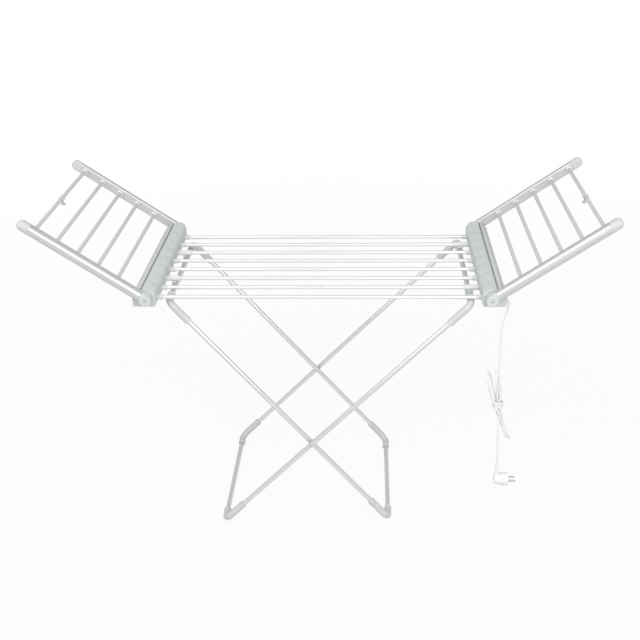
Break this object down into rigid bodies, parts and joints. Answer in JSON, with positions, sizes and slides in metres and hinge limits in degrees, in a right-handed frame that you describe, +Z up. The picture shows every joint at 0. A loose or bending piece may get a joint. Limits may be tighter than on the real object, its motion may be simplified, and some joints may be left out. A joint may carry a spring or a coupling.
{
  "type": "heated clothes airer",
  "caption": "Folding heated clothes airer: a panel of warm bars between two hinged wings, on crossed tubular leg frames, with a mains cord tied in a hank.",
  "frame": {"origin": "on the floor under the middle of the panel, halfway between the tips of the two opened wings", "axes": "+X along the panel towards the wing that carries the cord, +Z up, -Y towards the front"},
  "size_m": [1.4582, 0.5494, 0.907],
  "materials": {
    "panel_bar": "satin anodised",
    "wing_bar": "satin",
    "wing_rail": "satin",
    "leg_tube": "satin",
    "housing_plastic": "moulded, fine texture",
    "fitting_plastic": "moulded",
    "elbow_plastic": "moulded",
    "cord_sheath": "soft satin",
    "plug_plastic": "moulded",
    "cable_insulation": "silicone",
    "block_plastic": "moulded"
  },
  "bodies": {
    "panel": {"left_housing_base": "housing_plastic", "left_housing_cover": "housing_plastic", "right_housing_base": "housing_plastic", "right_housing_cover": "housing_plastic", "centre_bar_1": "panel_bar", "centre_bar_2": "panel_bar", "centre_bar_3": "panel_bar", "centre_bar_4": "panel_bar", "centre_bar_5": "panel_bar", "centre_bar_6": "panel_bar", "centre_bar_7": "panel_bar", "centre_bar_8": "panel_bar", "left_clip_near": "fitting_plastic", "left_clip_far": "fitting_plastic", "right_clip_near": "fitting_plastic", "right_clip_far": "fitting_plastic", "heating_cable": "cable_insulation", "terminal_block": "block_plastic", "strain_relief": "plug_plastic", "supply_cord": "cord_sheath", "cord_hank": "cord_sheath", "plug": "plug_plastic"},
    "left_wing": {"left_wing_rail_near": "wing_rail", "left_wing_hinge_near": "fitting_plastic", "left_wing_rail_far": "wing_rail", "left_wing_hinge_far": "fitting_plastic", "left_wing_bar_1": "wing_bar", "left_wing_bar_2": "wing_bar", "left_wing_bar_3": "wing_bar", "left_wing_bar_4": "wing_bar", "left_wing_bar_5": "wing_bar", "left_wing_bar_6": "wing_bar"},
    "left_hook": {"left_wing_hook": "fitting_plastic"},
    "right_wing": {"right_wing_rail_near": "wing_rail", "right_wing_hinge_near": "fitting_plastic", "right_wing_rail_far": "wing_rail", "right_wing_hinge_far": "fitting_plastic", "right_wing_bar_1": "wing_bar", "right_wing_bar_2": "wing_bar", "right_wing_bar_3": "wing_bar", "right_wing_bar_4": "wing_bar", "right_wing_bar_5": "wing_bar", "right_wing_bar_6": "wing_bar"},
    "right_hook": {"right_wing_hook": "fitting_plastic"},
    "outer_legs": {"outer_leg_near": "leg_tube", "outer_elbow_near": "elbow_plastic", "outer_foot_near": "elbow_plastic", "outer_leg_far": "leg_tube", "outer_elbow_far": "elbow_plastic", "outer_foot_far": "elbow_plastic", "outer_top_bar": "leg_tube", "outer_bottom_bar": "leg_tube"},
    "inner_legs": {"inner_leg_near": "leg_tube", "inner_elbow_near": "elbow_plastic", "inner_foot_near": "elbow_plastic", "inner_leg_far": "leg_tube", "inner_elbow_far": "elbow_plastic", "inner_foot_far": "elbow_plastic", "inner_top_bar": "leg_tube", "inner_bottom_bar": "leg_tube"}
  },
  "joints": [
    {"name": "left_wing_hinge", "type": "hinge", "parent": "panel", "child": "left_wing", "pos_m": [-0.43, 0, 0.697], "axis": [0, 1, 0], "range_deg": [0, 142.5]},
    {"name": "right_wing_hinge", "type": "hinge", "parent": "panel", "child": "right_wing", "pos_m": [0.43, 0, 0.697], "axis": [0, -1, 0], "range_deg": [0, 142.5]},
    {"name": "left_hook_swivel", "type": "hinge", "parent": "left_wing", "child": "left_hook", "pos_m": [-0.69125, 0, 0.87655], "axis": [0, 1, 0], "continuous": true},
    {"name": "right_hook_swivel", "type": "hinge", "parent": "right_wing", "child": "right_hook", "pos_m": [0.69125, 0, 0.87655], "axis": [0, -1, 0], "continuous": true},
    {"name": "outer_leg_hinge", "type": "hinge", "parent": "panel", "child": "outer_legs", "pos_m": [0.384, 0, 0.669], "axis": [0, -1, 0], "range_deg": [0, 42.8]},
    {"name": "leg_crossing", "type": "hinge", "parent": "outer_legs", "child": "inner_legs", "pos_m": [-0.02828, 0, 0.25421], "axis": [0, 1, 0], "range_deg": [0, 81.4]}
  ],
  "couplings": [
    {"joint": "leg_crossing", "follows": "outer_leg_hinge", "ratio": 1.9}
  ]
}
